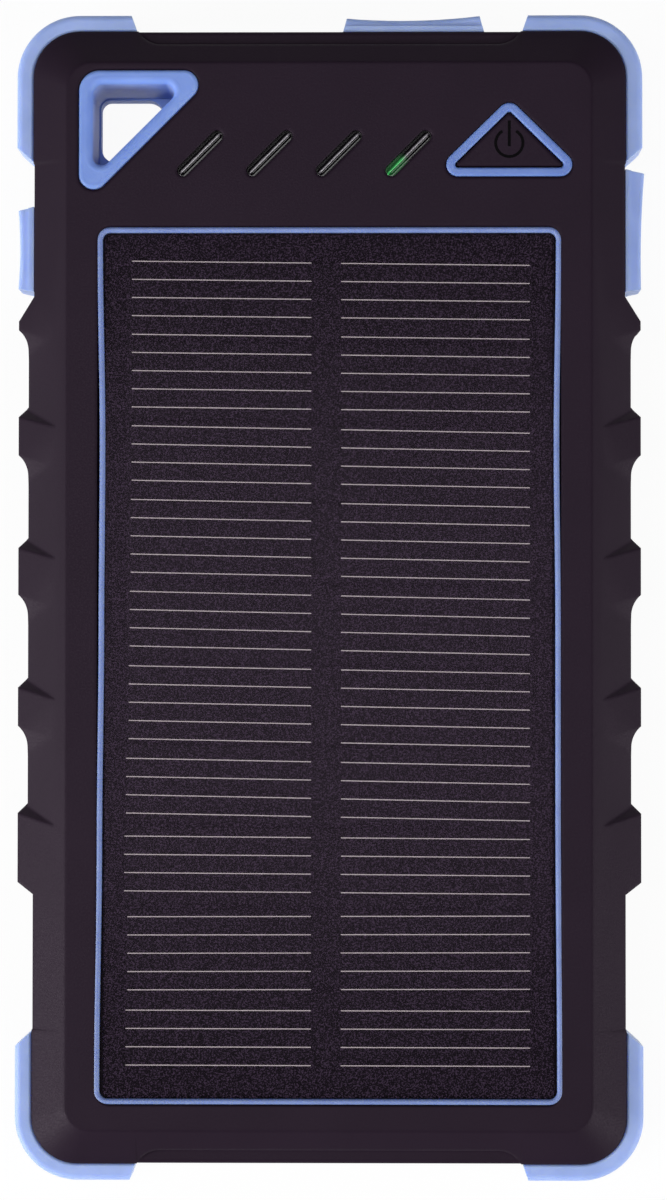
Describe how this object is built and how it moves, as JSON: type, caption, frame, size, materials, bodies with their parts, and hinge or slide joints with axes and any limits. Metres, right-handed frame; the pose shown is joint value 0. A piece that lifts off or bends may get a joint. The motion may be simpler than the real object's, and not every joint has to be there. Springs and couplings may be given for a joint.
{
  "type": "solar phone charger",
  "caption": "Flat black battery pack with a solar panel, blue corner bumpers, ribbed sides, hinged covers over its sockets, slanted charge lights and a triangular power button.",
  "frame": {"origin": "middle of the flat back, under the middle of the overall box", "axes": "+Z out of the panel face, +Y towards the end with the lanyard hole and the button, +X towards the side with the USB-A socket"},
  "size_m": [0.0766, 0.142, 0.0146],
  "materials": {
    "case_abs": "fine matt moulding",
    "button_abs": "fine matt moulding",
    "blue_silicone": "satin",
    "blue_inlay": "satin",
    "seal_silicone": "satin",
    "panel_substrate": "matt",
    "cell_silicon": "satin",
    "panel_resin": "frosted",
    "clear_pipe": "clear",
    "lit_pipe": "clear, lit green",
    "led_off": "matt",
    "led_green": "lit",
    "circuit_board": "solder mask",
    "chip_epoxy": "matt",
    "coil_ferrite": "matt",
    "socket_steel": "plated",
    "socket_plastic": "matt",
    "dark_plastic": "matt",
    "battery_pouch": "foil",
    "foam": "matt foam",
    "wire_sleeve": "satin",
    "screw_steel": "plated"
  },
  "bodies": {
    "charger": {"front_case": "case_abs", "rear_case": "case_abs", "case_seal": "seal_silicone", "bumper_top_left": "blue_silicone", "bumper_top_right": "blue_silicone", "bumper_bottom_left": "blue_silicone", "bumper_bottom_right": "blue_silicone", "lanyard_sleeve": "blue_inlay", "solar_board": "panel_substrate", "solar_cells": "cell_silicon", "panel_resin": "panel_resin", "panel_trim": "blue_inlay", "button_ring": "blue_inlay", "switch_body": "socket_steel", "light_pipe_1": "clear_pipe", "light_pipe_2": "clear_pipe", "light_pipe_3": "clear_pipe", "light_pipe_4": "lit_pipe", "status_led_1": "led_off", "status_led_2": "led_off", "status_led_3": "led_off", "status_led_4": "led_green", "main_board": "circuit_board", "control_chip": "chip_epoxy", "boost_inductor": "coil_ferrite", "usb_shell_top": "socket_steel", "usb_tongue_top": "socket_plastic", "usb_shell_side": "socket_steel", "usb_tongue_side": "socket_plastic", "micro_usb_shell": "socket_steel", "micro_usb_tongue": "dark_plastic", "battery_cell": "battery_pouch", "battery_pad_rear": "foam", "battery_pad_front": "foam", "battery_leads": "wire_sleeve", "solar_leads": "wire_sleeve", "case_screws": "screw_steel"},
    "cover_left": {"port_cover_left": "blue_silicone"},
    "cover_right": {"port_cover_right": "blue_silicone"},
    "cover_top": {"port_cover_top": "blue_silicone"},
    "button": {"power_button": "button_abs", "switch_plunger": "dark_plastic"}
  },
  "joints": [
    {"name": "cover_left_hinge", "type": "hinge", "parent": "charger", "child": "cover_left", "pos_m": [-0.03567, 0.0423, 0.004], "axis": [0, -1, 0], "range_deg": [0, 90]},
    {"name": "cover_right_hinge", "type": "hinge", "parent": "charger", "child": "cover_right", "pos_m": [0.03567, 0.04455, 0.004], "axis": [0, 1, 0], "range_deg": [0, 90]},
    {"name": "cover_top_hinge", "type": "hinge", "parent": "charger", "child": "cover_top", "pos_m": [0.01025, 0.06847, 0.004], "axis": [-1, 0, 0], "range_deg": [0, 90]},
    {"name": "power_button_press", "type": "slide", "parent": "charger", "child": "button", "axis": [0, 0, -1], "range_m": [0, 0.0003], "stiffness_N_per_m": 5000}
  ]
}
